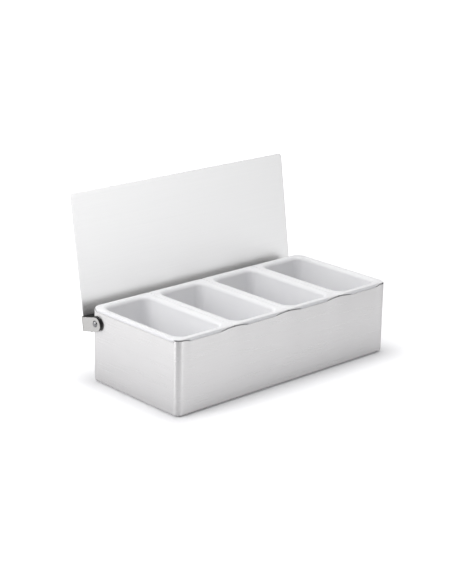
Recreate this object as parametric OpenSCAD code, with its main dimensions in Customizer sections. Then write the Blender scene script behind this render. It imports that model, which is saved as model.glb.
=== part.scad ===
// Open condiment dispenser: a wrapped stainless steel housing holds four
// white drop-in trays, and a flat steel lid turns on two rivets near the
// rear corners until it leans on two black stop blocks.
// X runs along the length, -Y is the front, Z = 0 is the underside.

/* [Housing] */
// Length of the housing over its side walls
body_l = 320; // [290:1:350]
// Depth of the housing over its front and rear walls
body_d = 145; // [130:1:160]
// Height of the rim above the surface that the housing stands on
body_h = 84.4; // [76:0.2:96]
// Outer radius of the four upright corner bends
corner_r = 8; // [7:0.5:10]
// Thickness of the wall sheet
sheet_t = 0.8; // [0.6:0.1:1]
// Outer radius of the bend along the bottom of each wall
foot_bend_r = 3; // [2:0.5:4]
// Width of the inward flange, from the outer face of its wall
flange_w = 10; // [8:1:14]
// Thickness of the base plate under the flange
base_t = 0.8; // [0.6:0.1:1.2]

/* [Rim] */
// Depth of the cut-outs that carry the tray lips, below the rim
rim_cut = 1.9; // [1.4:0.1:2.4]
// Width of the arched bump left between two trays
bump_w = 38.2; // [34:0.2:42]
// Length of the half bump at each end of the front and rear rims
end_bump = 17.5; // [15:0.1:20]
// Length of the full-height tip that each side wall keeps at its ends
tip_len = 7.1; // [7:0.1:9]

/* [Trays] */
// Width of the lip all round a tray, out to the face of its inner wall
lip_w = 8.8; // [8:0.1:10]
// Height of the lip, from the cut-out that it sits in to its top
lip_h = 4; // [3.8:0.1:4.6]
// Outer radius of the corners of the lip
lip_r = 10; // [9:0.5:12]
// Height of the slot left between a bump and the lip arched over it
slot_h = 1; // [0.8:0.1:1.2]
// Thickness of the moulding: lip, skirt, walls and floor
tray_wall = 1.8; // [1.6:0.1:2.2]
// Draft of the tray walls, in degrees
tray_draft = 2; // [1:0.25:3]
// Radius of the upright corners of the opening
tray_r = 11; // [9:0.5:13]
// Radius where the tray walls meet the tray floor
floor_r = 6; // [4:0.5:7]
// Height of the underside of the trays above the base plate
tray_lift = 10; // [6:1:20]
// Radius of the rounded edge between the lip and the inner wall
edge_r = 4.5; // [4:0.1:5.5]
// Gap left beside a tray lip
lip_gap = 0.2; // [0.1:0.05:0.3]

/* [Lid] */
// Thickness of the lid sheet
lid_t = 1; // [0.8:0.1:1.2]
// Radius of the corners at the front of the lid
lid_r = 4; // [3:0.5:8]
// How far the lid reaches past the front wall when it is closed
grip_over = 7.1; // [4:0.1:12]
// How far each end of the lid stays inside the side walls
end_inset = 0.25; // [0:0.05:1]
// How far the open lid leans back from upright, in degrees
lean = 8.4; // [6:0.2:11]

/* [Hinge] */
// Distance of the pivot axis in front of the rear face
pivot_in = 10.6; // [9:0.1:12]
// Distance of the pivot axis below the rim
pivot_down = 14.7; // [14:0.1:18]
// Distance from the pivot axis to the underside of the lid
lid_offset = 25.1; // [24:0.1:28]
// Width of the hinge ears
ear_w = 16.2; // [15:0.2:18]
// How far the round end of an ear stands lower than the pivot axis
ear_drop = 0.8; // [0:0.1:1.2]
// Inner radius of the bend between lid and ear
ear_bend_r = 3; // [2:0.1:3.2]
// Diameter of the pivot rivet shank
pivot_d = 4; // [3.2:0.1:5]
// Diameter of the domed rivet head
dome_d = 7.6; // [6.6:0.2:9]
// Height of the domed rivet head
dome_h = 2; // [1.4:0.1:2.6]
// Diameter of the black washer between ear and wall
washer_d = 16.8; // [15:0.2:18]
// Thickness of the black washer
washer_t = 2.3; // [1.8:0.1:3]
// Diameter of the backing washer inside the wall
backer_d = 9.6; // [9:0.1:11]
// Thickness of the backing washer
backer_t = 0.6; // [0.5:0.1:0.8]
// Running gap between flat faces that turn on each other
run_gap = 0.1; // [0.05:0.05:0.15]
// Radial gap between a shank and its hole
bore_gap = 0.08; // [0.05:0.01:0.1]

/* [Stops] */
// Length of each stop block along the rear wall
stop_w = 30; // [26:1:40]
// Height of each stop block
stop_h = 15; // [13:0.5:17]
// Distance of the top of the block below the rim
stop_down = 12.9; // [12:0.1:15]
// How far the block stays inside the plane of the side wall
stop_inset = 0.6; // [0.4:0.1:2]
// Gap left between the block and the open lid
stop_gap = 0.3; // [0.2:0.05:0.6]
// Diameter of the stop block rivets
stop_rivet_d = 3.2; // [2.4:0.1:4]
// Spacing of the two rivets in a block
stop_pitch = 12; // [10:0.5:13]
// Depth of the counterbore that hides a rivet head
stop_sink = 4; // [2:0.5:6]

/* [Hidden] */
$fn = 64;
half_l = body_l / 2;
half_d = body_d / 2;
tray_count = 4;
tray_pitch = body_l / tray_count;
cut_over = 2;
// Rim
bump_half = bump_w / 2;
bump_r = arch_r(bump_half);
end_half = end_bump - corner_r;
end_r = arch_r(end_half);
rim_low = body_h - rim_cut;
// Trays, measured from the centre of each one
lip_x = tray_pitch / 2 - lip_gap;
lip_y = half_d - lip_gap;
lip_top = rim_low + lip_h;
side_skirt_y = half_d - tip_len - 2 * lip_gap;
rebate_y = lip_y - sheet_t;
open_x = lip_x - lip_w;
open_y = lip_y - lip_w;
tray_low = base_t + sheet_t + tray_lift;
wall_top = lip_top - edge_r;
floor_in = (wall_top - tray_low - tray_wall) * tan(tray_draft);
edge_steps = 4;
past = 0.2;
thin = 0.02;
// Base
base_back = 0.4;
base_ease = 1;
base_inset = foot_bend_r + base_back;
base_r = corner_r - base_inset + base_ease;
// Hinge, in the lid's own frame: the pivot axis is the origin, Y points
// from the pivot to the lid and Z runs up the open lid
pivot_y = half_d - pivot_in;
pivot_z = body_h - pivot_down;
front_reach = body_d - pivot_in + grip_over;
rear_over = 0.2;
rear_reach = pivot_in + rear_over;
lid_half = half_l - end_inset;
ear_in = half_l + washer_t + run_gap;
ear_out = ear_in + lid_t;
ear_r = ear_w / 2;
ear_root_y = lid_offset - ear_bend_r;
ear_root_low = -rear_reach;
ear_root_high = ear_w - rear_reach;
bend_x = ear_in - ear_bend_r;
hole_r = pivot_d / 2 + bore_gap;
dome_x = ear_out + run_gap;
dome_ball = (pow(dome_d / 2, 2) + pow(dome_h, 2)) / (2 * dome_h);
backer_x = half_l - sheet_t - backer_t;
tail_over = 1.2;
tail_d = pivot_d + 2 * tail_over;
tail_h = 1.4;
// Stops: the lid's inner face is a plane through the pivot offset, and
// the block keeps under it when open and inside its sweep when it turns
stop_high = body_h - stop_down;
stop_low = stop_high - stop_h;
stop_low_y = lid_plane_y(stop_low) - stop_gap / cos(lean);
sweep_r = lid_offset - 2 * stop_gap;
stop_high_y = pivot_y + sqrt(pow(sweep_r, 2) - pow(pivot_z - stop_high, 2));
stop_out = half_l - stop_inset;
stop_rivet_x = (half_l - corner_r + stop_out - stop_w) / 2;
stop_rivet_z = (stop_high + stop_low) / 2;
stop_hole_r = stop_rivet_d / 2 + bore_gap;
stop_head_over = 1.4;
stop_head_d = stop_rivet_d + 2 * stop_head_over;
stop_head_h = 1;
stop_seat_y = min(stop_low_y, stop_high_y) - stop_sink;
stop_tail_over = 0.7;
stop_tail_d = stop_rivet_d + 2 * stop_tail_over;
stop_tail_h = 1.8;

// Radius of an arch that rises from the cut-outs to the rim
function arch_r(half) = (pow(half, 2) + pow(rim_cut, 2)) / (2 * rim_cut);

function lid_plane_y(z) =
    let (up = (z - pivot_z + lid_offset * sin(lean)) / cos(lean))
    pivot_y + lid_offset * cos(lean) + up * sin(lean);

// Point where a line from p touches a circle of radius r about c
function touch(p, c, r, side) =
    let (d = p - c, a = atan2(d[1], d[0]) + side * acos(r / norm(d)))
    c + r * [cos(a), sin(a)];

function tray_x(i) = (i - (tray_count + 1) / 2) * tray_pitch;

module round_rect(half_x, half_y, r) {
    square([2 * half_x, 2 * (half_y - r)], center = true);
    square([2 * (half_x - r), 2 * half_y], center = true);
    for (x = [-1, 1], y = [-1, 1])
        translate([x * (half_x - r), y * (half_y - r)]) circle(r);
}

// Section of a wall: X is inward from its outer face, Y is height
module wall_section() {
    translate([0, base_t + foot_bend_r])
        square([sheet_t, body_h - base_t - foot_bend_r]);
    translate([foot_bend_r, base_t + foot_bend_r])
        intersection() {
            difference() {
                circle(foot_bend_r);
                circle(foot_bend_r - sheet_t);
            }
            translate([-foot_bend_r, -foot_bend_r])
                square(foot_bend_r);
        }
}

module flange_section() {
    translate([foot_bend_r, base_t])
        square([flange_w - foot_bend_r, sheet_t]);
}

module straight_wall(length) {
    rotate([90, 0, 90])
        translate([0, 0, -length / 2])
            linear_extrude(length) {
                wall_section();
                flange_section();
            }
}

module wall_band() {
    for (turn = [0, 180]) {
        rotate(turn)
            translate([0, -half_d, 0])
                straight_wall(body_l - 2 * corner_r);
        rotate(turn + 90)
            translate([0, -half_l, 0])
                straight_wall(body_d - 2 * corner_r);
    }
    for (side = [0, 1], end = [0, 1])
        mirror([side, 0, 0])
            mirror([0, end, 0])
                translate([half_l - corner_r, half_d - corner_r, 0])
                    rotate_extrude(angle = 90)
                        translate([corner_r, 0])
                            mirror([1, 0])
                                wall_section();
}

// Outline of the steel that stands over the cut-outs on the front and
// rear: an arched bump at each joint between trays, and half of one at
// each end
module bumps() {
    for (i = [1 : tray_count - 1])
        arch(tray_x(i) + tray_pitch / 2, bump_half, bump_r);
    for (side = [-1, 1])
        arch(side * (half_l - corner_r), end_half, end_r);
    for (side = [0, 1])
        mirror([side, 0])
            translate([half_l - corner_r, rim_low - cut_over])
                square([corner_r + cut_over, rim_cut + cut_over]);
}

module arch(x, half, r) {
    intersection() {
        translate([x, body_h - r]) circle(r, $fn = 180);
        translate([x - half, rim_low - cut_over])
            square([2 * half, rim_cut + 2 * cut_over]);
    }
}

// Cuts everything over the rim's profile from the front and rear walls
module rim_cutter() {
    rotate([90, 0, 0])
        translate([0, 0, -body_d])
            linear_extrude(2 * body_d)
                difference() {
                    translate([-body_l, rim_low])
                        square([2 * body_l, rim_cut + cut_over]);
                    bumps();
                }
}

module housing_wall() {
    color("silver")
        difference() {
            wall_band();
            rim_cutter();
            translate([-body_l, -(half_d - tip_len), rim_low])
                cube([2 * body_l, body_d - 2 * tip_len, rim_cut + cut_over]);
            for (side = [0, 1])
                mirror([side, 0, 0]) {
                    translate([half_l - 2 * sheet_t, pivot_y, pivot_z])
                        rotate([0, 90, 0]) cylinder(r = hole_r, h = 3 * sheet_t);
                    stop_holes(half_d - 2 * sheet_t, 3 * sheet_t, stop_hole_r);
                }
        }
}

// Pair of round cuts along Y at the rivets of the right stop block
module stop_holes(y, length, r) {
    for (x = [-1, 1])
        translate([stop_rivet_x + x * stop_pitch / 2, y, stop_rivet_z])
            rotate([-90, 0, 0]) cylinder(r = r, h = length);
}

module base_plate() {
    color("lightgray")
        linear_extrude(base_t)
            round_rect(half_l - base_inset, half_d - base_inset, base_r);
}

module lip_outline(inset) {
    round_rect(lip_x - inset, lip_y - inset, lip_r - inset);
}

// Lip of tray i, with the skirt that stands on the cut-outs. The skirt
// is arched over the bumps and the tips, with a thinner wall behind them.
module lip(i) {
    difference() {
        translate([tray_x(i), 0, rim_low])
            linear_extrude(lip_h) lip_outline(0);
        translate([tray_x(i), 0, rim_low - cut_over])
            linear_extrude(lip_h - tray_wall + cut_over) lip_outline(tray_wall);
        for (turn = [0, 180])
            rotate(turn)
                translate([0, -rebate_y, slot_h])
                    rotate([90, 0, 0])
                        linear_extrude(sheet_t + cut_over) bumps();
        corner_rebates(i);
    }
}

// Room round the housing's corner bends, all along the tips
module corner_rebates(i) {
    difference() {
        for (side = [0, 1], end = [0, 1])
            mirror([side, 0, 0])
                mirror([0, end, 0])
                    translate([half_l - lip_gap - lip_r, side_skirt_y, rim_low - cut_over])
                        cube([lip_r + cut_over, tip_len + cut_over, rim_cut + slot_h + cut_over]);
        translate([tray_x(i), 0, rim_low - 2 * cut_over])
            linear_extrude(lip_h + 4 * cut_over) lip_outline(sheet_t);
    }
}

// Rounded rectangle of the opening's size at height z, grown by a
// distance, as a thin slice
module slice(z, grow) {
    for (x = [-1, 1], y = [-1, 1])
        translate([x * (open_x - tray_r), y * (open_y - tray_r), z])
            cylinder(r = tray_r + grow, h = thin, $fn = 32);
}

// Tapered block with round upright corners and a round bottom edge
module bowl(grow, top, bottom) {
    low_x = open_x - floor_in - floor_r;
    low_y = open_y - floor_in - floor_r;
    hull() {
        slice(top, grow);
        for (x = [-1, 1], y = [-1, 1])
            translate([x * low_x, y * low_y, bottom + floor_r + grow])
                sphere(floor_r + grow, $fn = 28);
    }
}

// What the rounded edge takes away: a quarter round of radius edge_r
// that bends outwards from the inner wall to the top of the lip. Each
// step runs on a little past its ends, inside its neighbours.
module rounded_edge() {
    for (k = [0 : edge_steps - 1]) {
        a = 90 * k / edge_steps;
        b = 90 * (k + 1) / edge_steps;
        slope = (cos(a) - cos(b)) / (sin(b) - sin(a));
        hull() {
            slice(wall_top + edge_r * sin(a) - past, edge_r * (1 - cos(a)) - past * slope);
            slice(wall_top + edge_r * sin(b) + past, edge_r * (1 - cos(b)) + past * slope);
        }
    }
}

// Slanted shoulder that carries the rounded edge between wall and lip
module shoulder() {
    hull() {
        slice(wall_top - tray_wall, 0);
        slice(lip_top - tray_wall / 2, edge_r + tray_wall / 2);
    }
}

module tray(i) {
    color("white")
        difference() {
            union() {
                lip(i);
                translate([tray_x(i), 0, 0]) {
                    bowl(tray_wall, lip_top - tray_wall / 2, tray_low);
                    shoulder();
                }
            }
            translate([tray_x(i), 0, 0]) {
                bowl(0, wall_top + past, tray_low + tray_wall);
                rounded_edge();
            }
        }
}

module tray_1() { tray(1); }
module tray_2() { tray(2); }
module tray_3() { tray(3); }
module tray_4() { tray(4); }

// Outline of the flat sheet: round corners at its free edge, and full
// width at the foot where the ears are bent out of it
module lid_outline() {
    translate([-lid_half, ear_root_low])
        square([2 * lid_half, front_reach - lid_r - ear_root_low]);
    translate([-(lid_half - lid_r), ear_root_low])
        square([2 * (lid_half - lid_r), front_reach - ear_root_low]);
    for (side = [-1, 1])
        translate([side * (lid_half - lid_r), front_reach - lid_r]) circle(lid_r);
    translate([-bend_x, ear_root_low])
        square([2 * bend_x, ear_w]);
}

module ear_outline() {
    end = [0, -ear_drop];
    high = touch([ear_root_y, ear_root_high], end, ear_r, 1);
    low = touch([ear_root_y, ear_root_low], end, ear_r, -1);
    difference() {
        union() {
            translate(end) circle(ear_r);
            polygon([
                [ear_root_y, ear_root_low],
                [ear_root_y, ear_root_high],
                high,
                end,
                low
            ]);
        }
        circle(hole_r);
    }
}

module ear() {
    translate([ear_in, 0, 0])
        rotate([90, 0, 90])
            linear_extrude(lid_t) ear_outline();
    translate([bend_x, ear_root_y, ear_root_low])
        rotate_extrude(angle = 90)
            translate([ear_bend_r, 0])
                square([lid_t, ear_w]);
}

module lid() {
    color("gainsboro")
        translate([0, pivot_y, pivot_z])
            rotate([-lean, 0, 0]) {
                translate([0, lid_offset + lid_t, 0])
                    rotate([90, 0, 0])
                        linear_extrude(lid_t) lid_outline();
                ear();
                mirror([1, 0, 0]) ear();
            }
}

// Everything on the pivot axis is turned, and lies along +X here
module on_pivot(side) {
    mirror([side, 0, 0])
        translate([0, pivot_y, pivot_z])
            rotate([0, 90, 0])
                children();
}

module ring(x, outer_r, inner_r, thickness) {
    translate([0, 0, x])
        difference() {
            cylinder(r = outer_r, h = thickness);
            translate([0, 0, -cut_over])
                cylinder(r = inner_r, h = thickness + 2 * cut_over);
        }
}

module pivot_rivet(side) {
    color("whitesmoke")
        on_pivot(side)
            rotate_extrude() {
                translate([0, backer_x - tail_h / 2])
                    square([pivot_d / 2, dome_x - backer_x + tail_h]);
                translate([0, backer_x - tail_h])
                    square([tail_d / 2, tail_h]);
                intersection() {
                    translate([0, dome_x + dome_h - dome_ball]) circle(dome_ball);
                    translate([0, dome_x]) square([dome_d, dome_h]);
                }
            }
}

module pivot_washer(side) {
    color("black")
        on_pivot(side) ring(half_l, washer_d / 2, hole_r, washer_t);
}

// Washer with one flat side, which clears the corner bend of the wall
module backing_washer(side) {
    color("silver")
        intersection() {
            on_pivot(side) ring(backer_x, backer_d / 2, hole_r, backer_t);
            translate([-body_l, -body_d, 0])
                cube([2 * body_l, body_d + half_d - corner_r, body_h]);
        }
}

module pivot_rivet_left() { pivot_rivet(1); }
module pivot_rivet_right() { pivot_rivet(0); }
module pivot_washer_left() { pivot_washer(1); }
module pivot_washer_right() { pivot_washer(0); }
module backing_washer_left() { backing_washer(1); }
module backing_washer_right() { backing_washer(0); }

// Moulded block whose rear face follows the open lid, with its rivets
// set deep enough that the lid never meets a head
module stop_block(side) {
    color("black")
        mirror([side, 0, 0])
            difference() {
                translate([stop_out - stop_w, 0, 0])
                    rotate([90, 0, 90])
                        linear_extrude(stop_w)
                            polygon([
                                [half_d, stop_low],
                                [stop_low_y, stop_low],
                                [stop_high_y, stop_high],
                                [half_d, stop_high]
                            ]);
                stop_holes(half_d - cut_over, stop_seat_y - half_d + 2 * cut_over, stop_hole_r);
                stop_holes(stop_seat_y, 2 * stop_sink + 2 * cut_over, stop_head_d / 2 + 2 * bore_gap);
            }
}

module stop_rivets(side) {
    color("silver")
        mirror([side, 0, 0]) {
            stop_holes(half_d - sheet_t, stop_seat_y - half_d + sheet_t + stop_head_h, stop_rivet_d / 2);
            stop_holes(half_d - sheet_t - stop_tail_h, stop_tail_h, stop_tail_d / 2);
            stop_holes(stop_seat_y, stop_head_h, stop_head_d / 2);
        }
}

module stop_block_left() { stop_block(1); }
module stop_block_right() { stop_block(0); }
module stop_rivets_left() { stop_rivets(1); }
module stop_rivets_right() { stop_rivets(0); }

housing_wall();
base_plate();
tray_1();
tray_2();
tray_3();
tray_4();
lid();
pivot_rivet_left();
pivot_rivet_right();
pivot_washer_left();
pivot_washer_right();
backing_washer_left();
backing_washer_right();
stop_block_left();
stop_block_right();
stop_rivets_left();
stop_rivets_right();
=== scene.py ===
import math

import bmesh
import bpy
import numpy as np
from mathutils import Matrix, Vector


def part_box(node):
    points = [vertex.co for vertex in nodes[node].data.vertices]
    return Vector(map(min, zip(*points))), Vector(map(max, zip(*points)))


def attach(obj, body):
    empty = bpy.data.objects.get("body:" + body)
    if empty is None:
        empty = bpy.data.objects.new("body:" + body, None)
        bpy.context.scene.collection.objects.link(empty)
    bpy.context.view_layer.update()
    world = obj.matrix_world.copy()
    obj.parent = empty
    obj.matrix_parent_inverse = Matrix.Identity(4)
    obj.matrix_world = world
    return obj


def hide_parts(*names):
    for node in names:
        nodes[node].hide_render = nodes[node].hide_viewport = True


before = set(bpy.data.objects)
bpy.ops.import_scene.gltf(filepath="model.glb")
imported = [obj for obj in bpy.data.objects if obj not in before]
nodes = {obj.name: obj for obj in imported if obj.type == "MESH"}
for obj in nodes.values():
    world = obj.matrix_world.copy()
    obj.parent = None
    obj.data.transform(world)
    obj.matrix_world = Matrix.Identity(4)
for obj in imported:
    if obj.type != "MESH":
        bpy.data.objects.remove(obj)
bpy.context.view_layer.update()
scene = bpy.context.scene


# The camera.
# It stands to the left of the front, a little above the rim, as the
# photographer's did, and is level but for about a degree.
photo_w, photo_h = 452, 584
focal_px = 1525.6
sensor = 36.0
azimuth, elevation, roll = (math.radians(a) for a in (42.74, 18.03, 1.0))
distance = 1.7001
looks_at = Vector((-0.02692, 0.0, 0.09377))

backwards = Vector((-math.sin(azimuth) * math.cos(elevation),
                    -math.cos(azimuth) * math.cos(elevation),
                    math.sin(elevation)))
level = (-backwards).cross(Vector((0, 0, 1))).normalized()
upright = level.cross(-backwards)
right = level * math.cos(roll) + upright * math.sin(roll)
up = upright * math.cos(roll) - level * math.sin(roll)
camera = bpy.data.objects.new("camera", bpy.data.cameras.new("camera"))
scene.collection.objects.link(camera)
turn = Matrix((right, up, backwards)).transposed().to_4x4()
camera.matrix_world = Matrix.Translation(looks_at + backwards * distance) @ turn
camera.data.sensor_width = sensor
camera.data.lens = focal_px * sensor / max(photo_w, photo_h)
scene.camera = camera


# The housing wall.
# One 0.8 mm sheet of stainless steel, bent round four corners and turned
# in along the bottom. Its rim is cut into low arches between the trays,
# and a belt has brushed it along its length.
wall_low, wall_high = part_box("housing_wall")
half_l, half_d = wall_high.x, wall_high.y
rim_z = wall_high.z
sheet_t = 0.0008
corner_r = 0.008
foot_r = 0.003
flange_w = 0.0055
rim_cut = 0.0019
tray_pitch = half_l / 2
bump_half = 0.0191
end_bump = 0.0175
tip_len = 0.0071
edge_r = 0.00025
corner_steps = 16
foot_steps = 8
wall_step = 0.002
break_half = 5e-5
weld_reach = 1e-6
scratch_gap, scratch_len = 0.0008, 0.09
grain_low, grain_high = 0.3, 0.7
bump_reach = 0.0001


def srgb(hex_colour):
    """Linear RGBA from an sRGB hex string: each channel is divided by
    12.92 below 0.04045, and is ((c + 0.055) / 1.055) ^ 2.4 above it."""
    channels = [int(hex_colour[i:i + 2], 16) / 255 for i in (1, 3, 5)]
    return (*[c / 12.92 if c <= 0.04045 else ((c + 0.055) / 1.055) ** 2.4
              for c in channels], 1.0)


def add(tree, kind, settings=None, **links):
    """Adds a node to a tree, sets its properties and sockets, and links
    each socket that is given another node's output. A socket goes by its
    name, or by its number where two share a name."""
    node = tree.nodes.new("ShaderNode" + kind)
    named = {name.replace("_", " "): output for name, output in links.items()}
    for name, value in {**(settings or {}), **named}.items():
        if isinstance(value, bpy.types.NodeSocket):
            tree.links.new(node.inputs[name], value)
        elif isinstance(name, str) and hasattr(node, name):
            setattr(node, name, value)
        else:
            node.inputs[name].default_value = value
    return node


def material(name):
    """A new material with an empty node tree and its output node."""
    made = bpy.data.materials.new(name)
    made.use_nodes = True
    made.node_tree.nodes.clear()
    return made, made.node_tree, made.node_tree.nodes.new("ShaderNodeOutputMaterial")


def shades(tree, share, dark, light, low=0.0, high=1.0):
    """A colour between dark, up to the share low, and light, from high."""
    ramp = add(tree, "ValToRGB", Fac=share)
    for stop, place, colour in zip(ramp.color_ramp.elements, (low, high), (dark, light)):
        stop.position, stop.color = place, srgb(colour)
    return ramp.outputs["Color"]


def grid(points, loop_v=False, uv=None):
    """Points, faces and UV of an array of points: rows u go round and
    join up, columns v do so only with loop_v, and every four neighbours
    make a face. The faces are turned so that six times the volume they
    close, the sum of a . (b x c) over their triangles, is positive."""
    n_u, n_v = points.shape[:2]
    iu, iv = np.meshgrid(np.arange(n_u), np.arange(n_v if loop_v else n_v - 1), indexing="ij")
    ju, jv = (iu + 1) % n_u, (iv + 1) % n_v
    corners = np.stack([iu * n_v + iv, ju * n_v + iv, ju * n_v + jv, iu * n_v + jv], -1)
    quads = corners.reshape(-1, 4)
    flat = points.reshape(-1, 3)
    a, b, c, d = (flat[quads[:, k]] for k in range(4))
    if np.sum(a * (np.cross(b, c) + np.cross(c, d))) < 0:
        quads = quads[:, ::-1]
    if uv is None:
        uv = points[..., :2]
    return flat, quads, uv.reshape(-1, 2)


def surface(name, *grids, finishes=None):
    """One mesh from several grids, with points that coincide welded, so
    that poles and seams are closed. finishes gives each grid's material."""
    starts = np.cumsum([0] + [len(points) for points, _, _ in grids])
    points = np.concatenate([g[0] for g in grids])
    quads = np.concatenate([g[1] + start for g, start in zip(grids, starts)])
    uv = np.concatenate([g[2] for g in grids])
    mesh = bpy.data.meshes.new(name)
    mesh.from_pydata(points.tolist(), [], quads.tolist())
    layer = mesh.uv_layers.new(name="UVMap")
    index = np.empty(len(mesh.loops), np.int32)
    mesh.loops.foreach_get("vertex_index", index)
    layer.data.foreach_set("uv", uv[index].ravel().astype(np.float32))
    numbers = [np.full(len(g[1]), k) for g, k in zip(grids, finishes or [0] * len(grids))]
    mesh.polygons.foreach_set("material_index", np.concatenate(numbers).astype(np.int32))
    welded = bmesh.new()
    welded.from_mesh(mesh)
    bmesh.ops.remove_doubles(welded, verts=welded.verts, dist=weld_reach)
    welded.to_mesh(mesh)
    welded.free()
    mesh.polygons.foreach_set("use_smooth", np.ones(len(mesh.polygons), bool))
    piece = bpy.data.objects.new(name, mesh)
    scene.collection.objects.link(piece)
    return piece


def arch(x, centre, half):
    """Height of a circular arch over the cut-outs: the rise at its
    centre, nothing at half its width, and the circle through both."""
    radius = (half ** 2 + rim_cut ** 2) / (2 * rim_cut)
    inside = np.clip(radius ** 2 - (x - centre) ** 2, 0, None)
    return np.clip(rim_cut - radius + np.sqrt(inside), 0, rim_cut)


def bump_height(x):
    """Height of the front and rear rims over the cut-outs at x: an arch
    at each joint between trays, and half of one that ends in full height
    at each corner bend."""
    height = np.zeros_like(x)
    for joint in (-tray_pitch, 0, tray_pitch):
        height = np.maximum(height, arch(x, joint, bump_half))
    end = half_l - corner_r
    height = np.maximum(height, arch(np.minimum(np.abs(x), end), end, end_bump - corner_r))
    return height


def straight(half, breaks):
    """Places along a straight run from -half to half: evenly spaced, with
    two close together at each break so that a step there stays sharp."""
    even = np.linspace(-half, half, int(2 * half / wall_step) + 1)
    near = [b + nudge for b in breaks for nudge in (-break_half, break_half)]
    return np.unique(np.concatenate([even, near]))


def wall_path():
    """Places round the wall, counter-clockwise from the front: for each,
    the point a bend's radius inside the outer face, and the outward
    direction from there."""
    fx, fy = half_l - corner_r, half_d - corner_r
    joints = [j + s * bump_half for j in (-tray_pitch, 0, tray_pitch) for s in (-1, 1)]
    joints += [s * (half_l - end_bump) for s in (-1, 1)]
    along_x = straight(fx, joints)
    along_y = straight(fy, [])
    turn = np.linspace(0, math.pi / 2, corner_steps + 1)[1:-1]
    centre, outward = [], []
    for side in range(4):
        run = along_x if side % 2 == 0 else along_y
        angle = side * math.pi / 2 - math.pi / 2
        normal = np.array([math.cos(angle), math.sin(angle)])
        tangent = np.array([-normal[1], normal[0]])
        reach = fy if side % 2 == 0 else fx
        centre.append(run[:, None] * tangent + reach * normal)
        outward.append(np.repeat(normal[None], len(run), 0))
        bend = angle + turn
        end = run[-1] * tangent + reach * normal
        centre.append(np.repeat(end[None], len(bend), 0))
        outward.append(np.stack([np.cos(bend), np.sin(bend)], -1))
    return np.concatenate(centre), np.concatenate(outward)


def rim_height(xy):
    """Height of the rim over the cut-outs at a point of the outer face:
    the bumps on the front and rear, and on the side walls full height
    over the length of a tip at each end."""
    run = 2 * break_half
    on_side = np.abs(xy[:, 0]) > half_l - run
    tip = rim_cut * np.clip((np.abs(xy[:, 1]) - (half_d - tip_len)) / run + 0.5, 0, 1)
    return np.where(on_side, tip, bump_height(xy[:, 0]))


def eased(start, corner, end, steps=4):
    """A quadratic curve from start to end that bends towards corner."""
    start, corner, end = map(np.array, (start, corner, end))
    t = np.linspace(0, 1, steps)[:, None]
    return (1 - t) ** 2 * start + 2 * t * (1 - t) * corner + t ** 2 * end


def wall_section():
    """The sheet's section as a closed outline of (inward, height): down
    the outer face, round the foot bend, along the flange, back up the
    inner face and over the rim, which is left at height zero and marked."""
    foot = wall_low.z
    bend = np.linspace(math.pi, 1.5 * math.pi, foot_steps + 1)
    outer, inner = (np.stack([foot_r + r * np.cos(bend), foot + foot_r + r * np.sin(bend)], -1)
                    for r in (foot_r, foot_r - sheet_t))
    flange = np.array([[flange_w, foot], [flange_w, foot + sheet_t]])
    rim = np.concatenate([eased((sheet_t, -edge_r), (sheet_t, 0), (sheet_t - edge_r, 0)),
                          eased((edge_r, 0), (0, 0), (0, -edge_r))])
    outline = np.concatenate([outer, flange, inner[::-1], rim])
    is_rim = np.arange(len(outline)) >= len(outline) - len(rim)
    return outline, is_rim


def housing_points():
    """The wall as a grid: the section is carried round the path, each
    point set inwards from the outer face along the outward direction,
    and the rim's points lifted to the rim's own height."""
    centre, outward = wall_path()
    outline, is_rim = wall_section()
    outer = centre + corner_r * outward
    low = rim_z - rim_cut
    top = low + rim_height(outer)
    xy = centre[:, None] + (corner_r - outline[None, :, :1]) * outward[:, None]
    z = outline[None, :, 1] + is_rim[None] * top[:, None]
    return np.concatenate([xy, z[..., None]], -1)


def along_and_up(points):
    """A UV map for the wall: how far along its run a point is, and how
    high it stands."""
    run = np.linalg.norm(np.diff(points[:, 0, :2], axis=0, prepend=points[:1, 0, :2]), axis=1)
    return np.stack(np.broadcast_arrays(np.cumsum(run)[:, None], points[..., 2]), -1)


def brushed_steel(name, colour, dark, grain_axis, rough=0.3, spread=0.0):
    """Stainless steel sheet finished by an abrasive belt. The belt leaves
    fine scratches along its run, which spread a reflection across them
    and give the metal its soft stripes. The real scratches are about
    0.1 mm apart. They are drawn 0.8 mm apart, because finer ones can't
    show in the render. Colour and dark are the two shades, and spread is
    how much further a reflection runs across the scratches than along."""
    made, tree, out = material(name)
    place = add(tree, "TexCoord").outputs["Object"]
    scale = [1 / scratch_gap] * 3
    for axis in grain_axis:
        scale["xyz".index(axis)] = 1 / scratch_len
    stretched = add(tree, "Mapping", {"Scale": scale}, Vector=place).outputs["Vector"]
    grain = add(tree, "TexNoise", {"Scale": 1.0, "Detail": 4.0, "Roughness": 0.6},
                Vector=stretched).outputs["Fac"]
    rougher = add(tree, "MapRange", {"From Min": grain_low, "From Max": grain_high,
                                     "To Min": rough - 0.04, "To Max": rough + 0.05},
                  Value=grain).outputs["Result"]
    bump = add(tree, "Bump", {"Strength": 0.05, "Distance": bump_reach}, Height=grain)
    shader = add(tree, "BsdfPrincipled",
                 {"Metallic": 1.0, "Anisotropic": spread, "Anisotropic Rotation": 0.25},
                 Base_Color=shades(tree, grain, dark, colour, grain_low, grain_high),
                 Roughness=rougher, Normal=bump.outputs["Normal"])
    if spread:
        along = add(tree, "Tangent", {"direction_type": "UV_MAP", "uv_map": "UVMap"})
        tree.links.new(shader.inputs["Tangent"], along.outputs["Tangent"])
    tree.links.new(out.inputs["Surface"], shader.outputs["BSDF"])
    return made


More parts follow.
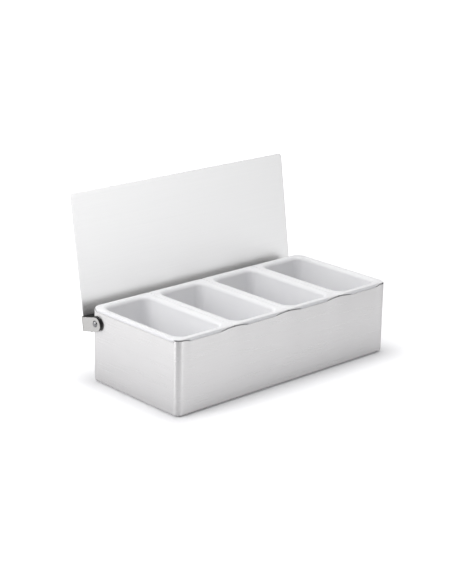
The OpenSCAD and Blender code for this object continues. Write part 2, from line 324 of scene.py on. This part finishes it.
wall_steel = brushed_steel("brushed_stainless_wall", "#D4D3D3", "#D0CFCF", "xy", 0.30, 0.9)
wall_points = housing_points()
housing = surface("wrapped_wall",
                  grid(wall_points, loop_v=True, uv=along_and_up(wall_points)))
housing.data.materials.append(wall_steel)
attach(housing, "housing")
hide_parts("housing_wall")


# The base plate.
# A flat sheet of the same steel, spot welded under the wall's flange. It
# is what the housing stands on.
nodes["base_plate"].data.materials.clear()
nodes["base_plate"].data.materials.append(
    brushed_steel("brushed_stainless_base", "#D9D9DA", "#CDCDCF", "x"))


# The four trays.
# Each is one white moulding in polypropylene. Its lip stands on the
# housing's cut-outs and is arched over the bumps, and its walls are
# drafted so that it leaves the mould and lifts out by hand.
tray_low, tray_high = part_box("tray_1")
tray_x = (-1.5 * tray_pitch, -0.5 * tray_pitch, 0.5 * tray_pitch, 1.5 * tray_pitch)
lip_gap = 0.0002
lip_half = (tray_pitch / 2 - lip_gap, half_d - lip_gap)
lip_w = 0.0088
lip_r = 0.010
joint_r = 0.002
lip_edge_r = 0.0011
slot_h = 0.001
opening_r = 0.011
edge_round = 0.0045
tray_wall = 0.0018
tray_draft = math.radians(2)
tray_floor_r = 0.006
fillet_least_r = 0.0004
middle_r = 0.0012
stop_nudge = 6e-5
skirt_lift = 2e-5
side_steps = 16
fillet_steps = 8
lip_edge_steps = 6
edge_round_steps = 12
tray_wall_steps = 8
side_skirt = half_d - tip_len - 2 * lip_gap
cloud_scale = 22.0
grit_size = 0.0007


def rounded_loop(half, radii, places, steps=12):
    """A rounded rectangle, counter-clockwise from its right side: places
    from -1 to 1 along each straight side, and after it an arc of that
    corner's radius. All loops have the same number of points."""
    turn = np.linspace(0, math.pi / 2, steps + 1)[1:-1]
    points = []
    for side in range(4):
        angle = side * math.pi / 2
        normal = np.array([math.cos(angle), math.sin(angle)])
        tangent = np.array([-normal[1], normal[0]])
        reach, run = half if side % 2 == 0 else half[::-1]
        before, after = radii[side - 1], radii[side]
        along = before - run + (places[side] + 1) / 2 * (2 * run - before - after)
        points.append(along[:, None] * tangent + reach * normal)
        corner = (reach - after) * normal + (run - after) * tangent
        bend = angle + turn
        points.append(corner + after * np.stack([np.cos(bend), np.sin(bend)], -1))
    return np.concatenate(points)


def side_places(radii, side, stops=()):
    """Even places along a side of the lip, and two close together at each
    stop, which is a distance from the side's middle."""
    run = lip_half[1] if side % 2 == 0 else lip_half[0]
    before, after = radii[side - 1], radii[side]
    near = np.array([s + nudge for s in stops for nudge in (-stop_nudge, stop_nudge)])
    exact = 2 * (near + run - before) / (2 * run - before - after) - 1
    return np.unique(np.concatenate([np.linspace(-1, 1, side_steps + 1), exact]))


def tray_profile():
    """The moulding's section from the middle of its underside, up its
    outer wall and shoulder, out under the lip, round the skirt, over the
    lip and its rounded edge, and down the inner wall to the middle of its
    floor. Each row is (inset from the lip's outer face, height, corner
    radius or None where the corners are the lip's own, and what stands in
    for the height along the skirt)."""
    top, low = tray_high.z, tray_low.z
    floor, wall_top = low + tray_wall, top - edge_round
    lean = math.tan(tray_draft)
    taper = (opening_r - tray_floor_r) / (wall_top - floor)
    middle = lip_half[0]

    def wall(z, grow):
        return (lip_w + (wall_top - z) * lean - grow, z,
                opening_r - (wall_top - z) * taper + grow, "")

    def fillet(z_floor, grow, angles):
        r = tray_floor_r + grow
        start = wall(z_floor + r, grow)
        insets = start[0] + r - r * np.cos(angles)
        heights = z_floor + r - r * np.sin(angles)
        radii = np.maximum(start[2] - (insets - start[0]), fillet_least_r)
        return [(*row, "") for row in zip(insets, heights, radii)]

    quarter = np.linspace(0, math.pi / 2, fillet_steps + 1)
    under = fillet(low, tray_wall, quarter[::-1])
    inside = fillet(floor, 0, quarter)
    rows = [(middle, low, 0, ""), ((middle + under[0][0]) / 2, low, middle_r, "")]
    rows += under + [wall(wall_top, tray_wall)]
    ceiling = top - tray_wall
    rows.append((lip_w - edge_round, ceiling, opening_r + edge_round, ""))
    rows += [(tray_wall, ceiling, None, ""), (tray_wall, 0, None, "low"),
             (sheet_t, 0, None, "low"), (sheet_t, 0, None, "foot"), (0, 0, None, "foot")]
    for a in np.linspace(0, math.pi / 2, lip_edge_steps + 1):
        inset = lip_edge_r * (1 - math.cos(a))
        rows.append((inset, top - lip_edge_r + lip_edge_r * math.sin(a), None, ""))
    for a in np.linspace(math.pi / 2, 0, edge_round_steps + 1):
        out = edge_round * (1 - math.cos(a))
        rows.append((lip_w - out, wall_top + edge_round * math.sin(a), opening_r + out, ""))
    for z in np.linspace(wall_top, floor + tray_floor_r, tray_wall_steps + 1)[1:-1]:
        rows.append(wall(z, 0))
    rows += inside
    rows += [((middle + inside[-1][0]) / 2, floor, middle_r, ""), (middle, floor, 0, "")]
    return rows


def skirt_foot(x, y):
    """Height of the skirt's foot at a place on the lip's outer face: on
    the cut-outs, and a slot's height over the steel along the bumps and
    round the housing's corners."""
    to_joint = np.abs((np.abs(x) + tray_pitch / 2) % tray_pitch - tray_pitch / 2)
    in_front = np.abs(y) > lip_half[1] - sheet_t
    over_bump = in_front & ((to_joint < bump_half) & (np.abs(x) < half_l - tray_pitch / 2)
                            | (np.abs(x) > half_l - end_bump))
    round_corner = (np.abs(y) > side_skirt) & (np.abs(x) > half_l - lip_gap - lip_r)
    steel = np.where(round_corner, rim_cut, bump_height(x))
    return rim_z - rim_cut + np.where(over_bump | round_corner, slot_h + steel, skirt_lift)


def tray_points(centre_x):
    """A tray as a grid: one rounded loop for each row of the profile, at
    that row's inset, height and corner radius. The lip's corners are wide
    at the ends of the housing and tight at the joints."""
    right, left = (np.where(s * centre_x > tray_pitch, lip_r, joint_r) for s in (1, -1))
    lip_radii = np.array([right, left, left, right])
    stops = [sign * (tray_pitch / 2 - half) for half in (bump_half, end_bump) for sign in (-1, 1)]
    places = [side_places(lip_radii, side, stops if side % 2 else ()) for side in range(4)]
    outer = rounded_loop(lip_half, lip_radii, places)
    foot = skirt_foot(outer[:, 0] + centre_x, outer[:, 1])
    loops = []
    for inset, height, radius, kind in tray_profile():
        radii = lip_radii - inset if radius is None else [radius] * 4
        xy = rounded_loop((lip_half[0] - inset, lip_half[1] - inset), radii, places)
        z = {"": np.full(len(xy), height), "foot": foot,
             "low": np.full(len(xy), rim_z - rim_cut)}[kind]
        loops.append(np.column_stack([xy[:, 0] + centre_x, xy[:, 1], z]))
    return np.stack(loops, 1)


def moulded_plastic(name, colour, shade):
    """Injection-moulded polypropylene. The mould's fine spark texture
    gives it a satin surface with a soft, wide highlight. The texture is
    drawn coarser than the real 0.1 mm, and faint clouds of about 45 mm
    stand for the melt's flow."""
    made, tree, out = material(name)
    place = add(tree, "TexCoord").outputs["Object"]
    cloud = add(tree, "TexNoise", {"Scale": cloud_scale, "Detail": 2.0}, Vector=place)
    grit = add(tree, "TexNoise", {"Scale": 1 / grit_size, "Detail": 2.0},
               Vector=place).outputs["Fac"]
    rough = add(tree, "MapRange", {"To Min": 0.30, "To Max": 0.40}, Value=grit)
    bump = add(tree, "Bump", {"Strength": 0.06, "Distance": bump_reach}, Height=grit)
    shader = add(tree, "BsdfPrincipled", {"IOR": 1.49},
                 Base_Color=shades(tree, cloud.outputs["Fac"], shade, colour,
                                   grain_low, grain_high),
                 Roughness=rough.outputs["Result"], Normal=bump.outputs["Normal"])
    tree.links.new(out.inputs["Surface"], shader.outputs["BSDF"])
    return made


tray_plastic = moulded_plastic("moulded_polypropylene", "#F4F4F5", "#F1F1F3")
for number, x in enumerate(tray_x, 1):
    tray = surface(f"moulded_tray_{number}", grid(tray_points(x)))
    tray.data.materials.append(tray_plastic)
    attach(tray, "housing")
    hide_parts(f"tray_{number}")


# The lid.
# One flat sheet of stainless steel, 1 mm thick, brushed along its length,
# with an ear bent forward at each end of its lower edge. The lid's steel
# is drawn lighter than the wall's, as painted light, and the ears' steel
# darker, as painted shade.
lid_t = 0.001
lid_r = 0.004
lid_foot_r = 0.001
lid_edge_r = 0.0003
lid_support = 0.0015
lid_corner_steps = 8
ear_bend_steps = 12
ear_side_steps = 6
lean = math.radians(8.4)
pivot_y, pivot_z = half_d - 0.0106, rim_z - 0.0147
lid_offset = 0.0251
lid_half = half_l - 0.00025
lid_foot, lid_head = -0.0108, 0.1415
ear_w = 0.0162
ear_r = ear_w / 2
ear_drop = 0.0008
ear_bend_r = 0.003
ear_in = half_l + 0.0024
ear_hole_r = 0.00208
ear_root = lid_offset - ear_bend_r
bend_x = ear_in - ear_bend_r
ear_overlap = 0.0003
hole_support = 0.0003


def sheet_edge(steps=5):
    """Across the sheet's rounded edge, from just inside one face to just
    inside the other: rows of (inset, depth under the first face)."""
    turn = np.linspace(0, math.pi / 2, steps)
    first = np.stack([1 - np.sin(turn), 1 - np.cos(turn)], -1) * lid_edge_r
    second = first[::-1] * (1, -1) + (0, lid_t)
    return np.concatenate([[(lid_support, 0)], first, second, [(lid_support, lid_t)]])


def lid_sheet():
    """The flat sheet: its outline, a rectangle with arcs at the corners,
    set in by each row's inset, from the middle of the front face out over
    the rounded edge and back to the middle of the rear face."""
    middle = (lid_head - lid_foot) / 2
    rows = np.concatenate([[(middle, 0)], sheet_edge(), [(middle, lid_t)]])
    inset, depth = rows[None, :, 0], rows[None, :, 1]
    quarter = np.linspace(0, math.pi / 2, lid_corner_steps + 1)
    outline = []
    corners = ((1, lid_head, lid_r), (-1, lid_head, lid_r),
               (-1, lid_foot, lid_foot_r), (1, lid_foot, lid_foot_r))
    for corner, (side, end, radius) in enumerate(corners):
        turn = quarter[:, None] + corner * math.pi / 2
        bend = np.clip(radius - inset, 0, None)
        end_x = side * (lid_half - inset)
        end_z = end - np.sign(end) * inset
        outline.append(np.stack(np.broadcast_arrays(
            end_x + bend * (np.cos(turn) - side), lid_offset + depth,
            end_z + bend * (np.sin(turn) - np.sign(end))), -1))
    return np.concatenate(outline)


def ear_bend():
    """The bend between sheet and ear: the sheet's section is turned a
    quarter round the bend's centre, and closed at both ends inside the
    sheet and the ear."""
    edge = sheet_edge()
    low, high = lid_foot, lid_foot + ear_w
    section = np.concatenate([np.column_stack([high - edge[:, 0], edge[:, 1]]),
                              np.column_stack([low + edge[::-1, 0], edge[::-1, 1]])])
    turn = np.linspace(math.pi / 2, 0, ear_bend_steps + 1)
    path = np.stack([bend_x + ear_bend_r * np.cos(turn), ear_root + ear_bend_r * np.sin(turn),
                     np.cos(turn), np.sin(turn)], -1)
    before = path[:1] - (ear_overlap, 0, 0, 0)
    after = path[-1:] - (0, ear_overlap, 0, 0)
    path = np.concatenate([before, before, path, after, after])
    size = np.ones(len(path))
    size[[0, -1]] = 0
    middle = np.array([(low + high) / 2, lid_t / 2])
    section = middle + size[None, :, None] * (section[:, None] - middle)
    across = path[None, :, 2:] * section[..., 1:]
    return np.concatenate([path[None, :, :2] + across, section[..., :1]], -1)


def ear_outline(steps=25):
    """The ear's outline: the straight root, two edges that touch its
    round end, and the arc between them."""
    end = np.array([0, -ear_drop])
    corners = np.array([[ear_root + ear_overlap, lid_foot + w] for w in (0, ear_w)])
    away = corners - end
    spread = np.arccos(ear_r / np.linalg.norm(away, axis=1))
    touch = np.arctan2(away[:, 1], away[:, 0]) + spread * (-1, 1)
    turn = np.linspace(touch[1], touch[0] + 2 * math.pi, steps)
    arc = end + ear_r * np.stack([np.cos(turn), np.sin(turn)], -1)
    t = np.linspace(0, 1, ear_side_steps + 1)[:-1, None]
    root = corners[0] + t * (corners[1] - corners[0])
    upper = corners[1] + t * (arc[0] - corners[1])
    lower = arc[-1] + t * (corners[0] - arc[-1])
    return np.concatenate([root, upper, arc[:-1], lower])


def ear_plate():
    """The flat ear: a ring from the rivet's hole, with a narrow row of
    faces round it that keeps the flat shading, out to the outline, over
    its rounded edge and back to the hole on the outer face."""
    outline = ear_outline()
    reach = np.linalg.norm(outline, axis=1)[:, None]
    edge = sheet_edge()
    hole = ear_hole_r + np.array([[0, hole_support]])
    radius = np.concatenate([np.broadcast_to(r, (len(reach), r.shape[1])) for r in
                             (hole, reach - edge[None, :, 0], hole[:, ::-1])], axis=1)
    depth = np.concatenate([[0, 0], edge[:, 1], [lid_t, lid_t]])
    yz = outline[:, None] / reach[..., None] * radius[..., None]
    x = np.broadcast_to(ear_in + depth[None], radius.shape)
    return np.stack([x, yz[..., 0], yz[..., 1]], -1)


def lid_in_place(points, side=1):
    """A grid of the lid, mirrored for the left end, leant back about the
    pivot and set at its place, with a UV map of the flat sheet: how far
    along it a point is and how high up."""
    x, y, z = (points[..., i] for i in range(3))
    flat = np.stack([x + np.where(x > bend_x, lid_offset - y, 0), z], -1)
    placed = np.stack([side * x, pivot_y + y * math.cos(lean) + z * math.sin(lean),
                       pivot_z - y * math.sin(lean) + z * math.cos(lean)], -1)
    return placed, flat


lid_grids = []
for points, sides, loop_v in ((lid_sheet(), (1,), False), (ear_bend(), (-1, 1), False),
                              (ear_plate(), (-1, 1), True)):
    for side in sides:
        placed, flat = lid_in_place(points, side)
        lid_grids.append(grid(placed, loop_v, flat))
lid_piece = surface("folding_lid", *lid_grids, finishes=[0, 1, 1, 1, 1])
# The lid's colour is lighter than the wall's steel: painted light.
lid_piece.data.materials.append(
    brushed_steel("lid_steel_painted_light", "#E6E6E6", "#E3E3E3", "x", 0.34, 0.2))
# The ears' colour is darker than the lid's steel: painted shade.
lid_piece.data.materials.append(
    brushed_steel("ear_steel_painted_shade", "#BFBEBC", "#B2B1AF", "x", 0.3, 0.5))
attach(lid_piece, "lid")
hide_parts("lid")


# The pivot rivets.
# Solid stainless rivets with domed heads, set cold through ear, washer
# and wall, which leaves the dome bright. The rivets of the stop blocks
# and the backing washers have the same finish. Their steel is drawn far
# darker than the wall's, as painted shade for the dark the domes mirror.
mark_size = 0.0012


def polished_steel(name, colour, dark, rough):
    """Stainless steel smoothed by the rivet set, with faint handling
    marks that break its highlight."""
    made, tree, out = material(name)
    place = add(tree, "TexCoord").outputs["Object"]
    marks = add(tree, "TexNoise", {"Scale": 1 / mark_size, "Detail": 3.0},
                Vector=place).outputs["Fac"]
    rougher = add(tree, "MapRange", {"To Min": rough - 0.03, "To Max": rough + 0.05}, Value=marks)
    shader = add(tree, "BsdfPrincipled", {"Metallic": 1.0},
                 Base_Color=shades(tree, marks, dark, colour), Roughness=rougher.outputs["Result"])
    tree.links.new(out.inputs["Surface"], shader.outputs["BSDF"])
    return made


# Drawn far darker than the wall's steel: painted shade for the dark the domes mirror.
rivet_steel = polished_steel("rivet_steel_painted_shade", "#8E8E8F", "#78787A", 0.16)
for name in ("pivot_rivet", "backing_washer", "stop_rivets"):
    for side in ("left", "right"):
        nodes[f"{name}_{side}"].data.materials.clear()
        nodes[f"{name}_{side}"].data.materials.append(rivet_steel)


# The pivot washers and the stop blocks.
# The washers are turned nylon and keep ear and wall apart. The blocks
# are moulded rubber, riveted to the rear wall, and the open lid leans
# on them.
def black_polymer(name, colour, shade, grain, rough):
    """Carbon-black nylon or rubber: near black, with a fine grain from
    the cutter or the mould that dulls its highlight. It is drawn coarser
    than the real 0.1 mm."""
    made, tree, out = material(name)
    place = add(tree, "TexCoord").outputs["Object"]
    grit = add(tree, "TexNoise", {"Scale": 1 / grain, "Detail": 3.0}, Vector=place).outputs["Fac"]
    bump = add(tree, "Bump", {"Strength": 0.2, "Distance": bump_reach}, Height=grit)
    shader = add(tree, "BsdfPrincipled", {"Roughness": rough, "IOR": 1.5},
                 Base_Color=shades(tree, grit, shade, colour), Normal=bump.outputs["Normal"])
    tree.links.new(out.inputs["Surface"], shader.outputs["BSDF"])
    return made


washer_nylon = black_polymer("turned_black_nylon", "#161616", "#0B0B0B", 0.0006, 0.45)
block_rubber = black_polymer("moulded_black_rubber", "#141414", "#0A0A0A", 0.0009, 0.7)
for side in ("left", "right"):
    for name, look in (("pivot_washer", washer_nylon), ("stop_block", block_rubber)):
        nodes[f"{name}_{side}"].data.materials.clear()
        nodes[f"{name}_{side}"].data.materials.append(look)


# The floor and the light.
# A white table top in a white room with three soft lamps, two on the
# left and one overhead. Part of the room is dark, and the corner bends
# mirror it as a stripe.
floor_half = 6.0
# The table's own glow: at the part's foot and from glow_reach on, how
# much more is added from far_start to far_end, and what the metal sees.
# The glow is weaker towards the housing's foot, a painted shadow on the
# table, which the metal also sees.
foot_glow, table_glow, glow_reach = 0.09, 0.36, 0.045
far_glow, far_start, far_end = 0.4, 0.3, 1.5
mirror_foot, mirror_glow, mirror_reach = 0.03, 0.25, 0.14
# How bright the room is: seen directly, its ceiling in the metal and as
# light, and the height of a direction at which the ceiling starts and is
# full. Its walls go by bearing in degrees from the left end of the
# housing towards its front: how they look in the metal, and their light.
room_white, room_ceiling, light_ceiling = 1.0, 0.4, 0.6
ceiling_start, ceiling_full = 0.5, 0.85
room_walls = ((-78, 0.1), (-55, 1.7), (-42, 1.9), (-30, 0.9), (-15, 0.0), (45, 0.0), (75, 0.3),
              (110, 2.0), (128, 1.7), (140, 0.4), (165, 0.1), (205, 0.5), (245, 0.4))
room_light = ((0, 0.0), (90, 0.15), (180, 1.0), (270, 0.4))

floor_mesh = bpy.data.meshes.new("table_top")
floor_mesh.from_pydata([(x * floor_half, y * floor_half, 0) for x, y in
                        ((-1, -1), (1, -1), (1, 1), (-1, 1))], [], [(0, 1, 2, 3)])
table = bpy.data.objects.new("table_top", floor_mesh)
scene.collection.objects.link(table)
paper, tree, out = material("white_paper")
rays = add(tree, "LightPath").outputs
place = add(tree, "TexCoord").outputs["Object"]
# How far a place is from the housing: the length of max(|place| - half
# of the housing, 0).
outside = add(tree, "VectorMath", {"operation": "ABSOLUTE", 0: place}).outputs[0]
beyond = add(tree, "VectorMath", {"operation": "SUBTRACT", 0: outside, 1: (half_l, half_d, 0)})
clear = add(tree, "VectorMath", {"operation": "MAXIMUM", 0: beyond.outputs[0], 1: (0, 0, 0)})
gap = add(tree, "VectorMath", {"operation": "LENGTH", 0: clear.outputs[0]}).outputs["Value"]
# Less glow close to the housing: painted shadow at its foot.
near = add(tree, "MapRange", {"From Max": glow_reach, "To Min": foot_glow,
                              "To Max": table_glow}, Value=gap).outputs["Result"]
far = add(tree, "MapRange", {"From Min": far_start, "From Max": far_end,
                             "To Max": far_glow}, Value=gap).outputs["Result"]
# The same painted shadow, in the table as the metal mirrors it.
mirrored = add(tree, "MapRange", {"From Max": mirror_reach, "To Min": mirror_foot,
                                  "To Max": mirror_glow}, Value=gap).outputs["Result"]
both = add(tree, "Math", {"operation": "ADD", 0: near, 1: far}).outputs[0]
seen = add(tree, "Math", {"operation": "MULTIPLY", 0: rays["Is Camera Ray"], 1: both})
glow = add(tree, "Math", {"operation": "MULTIPLY_ADD", 0: rays["Is Glossy Ray"],
                          1: mirrored, 2: seen.outputs[0]})
matt = add(tree, "BsdfDiffuse", {"Color": srgb("#F4F4F6")})
lit = add(tree, "Emission", {"Color": (1, 1, 1, 1)}, Strength=glow.outputs[0])
sum_of = add(tree, "AddShader", {0: matt.outputs["BSDF"], 1: lit.outputs["Emission"]})
tree.links.new(out.inputs["Surface"], sum_of.outputs["Shader"])
table.data.materials.append(paper)

room = bpy.data.worlds.new("white_room")
scene.world = room
room.use_nodes = True
tree = room.node_tree
tree.nodes.clear()
rays = add(tree, "LightPath").outputs
direct = add(tree, "Math", {"operation": "MAXIMUM", 0: rays["Is Camera Ray"],
                            1: rays["Is Transmission Ray"]})
ray_way = add(tree, "TexCoord").outputs["Generated"]
compass = add(tree, "TexGradient", {"gradient_type": "RADIAL"}, Vector=ray_way).outputs["Fac"]
height = add(tree, "SeparateXYZ", Vector=ray_way).outputs["Z"]
overhead = add(tree, "MapRange",
               {"interpolation_type": "SMOOTHSTEP", "From Min": ceiling_start,
                "From Max": ceiling_full}, Value=height).outputs["Result"]


def blend(share, first, second):
    """The first value where share is 0, and the second where it is 1."""
    mixed = add(tree, "Mix", {"data_type": "FLOAT", 0: share, 2: first, 3: second})
    return mixed.outputs[0]


def room_look(walls, top):
    """Brightness by direction: the walls' levels by bearing, which the
    radial gradient counts in turns from the left end, and top overhead."""
    ramp = add(tree, "ValToRGB", Fac=compass)
    stops = ramp.color_ramp.elements
    stops.remove(stops[1])
    brightest = max(level for _, level in walls)
    for bearing, level in walls:
        grey = (level / brightest,) * 3 + (1,)
        stops.new(bearing / 360 % 1.0).color = grey
    stops.remove(stops[0])
    scaled = add(tree, "Math", {"operation": "MULTIPLY", 0: ramp.outputs["Color"],
                                1: brightest})
    return blend(overhead, scaled.outputs[0], top)


in_object = blend(rays["Is Glossy Ray"], room_look(room_light, light_ceiling),
                  room_look(room_walls, room_ceiling))
strength = blend(direct.outputs[0], in_object, room_white)
sky = add(tree, "Background", {"Color": (1, 1, 1, 1)}, Strength=strength)
tree.links.new(add(tree, "OutputWorld").inputs["Surface"], sky.outputs["Background"])


def soft_light(name, place, aim, size, watts):
    """A square soft light at place, turned to face aim."""
    lamp = bpy.data.objects.new(name, bpy.data.lights.new(name, "AREA"))
    lamp.data.shape = "SQUARE"
    lamp.data.size = size
    lamp.data.energy = watts
    lamp.location = place
    lamp.rotation_euler = (Vector(aim) - Vector(place)).to_track_quat("-Z", "Y").to_euler()
    scene.collection.objects.link(lamp)


soft_light("window_left", (-1.2, 0.5, 1.1), (0, 0, 0.05), size=1.0, watts=5)
soft_light("window_low", (-1.6, 0.1, 0.7), (0, 0, 0.05), size=0.8, watts=8.5)
soft_light("soft_overhead", (0.1, 0.1, 1.6), (0, 0, 0), size=0.75, watts=8)
scene.view_settings.view_transform = "Standard"
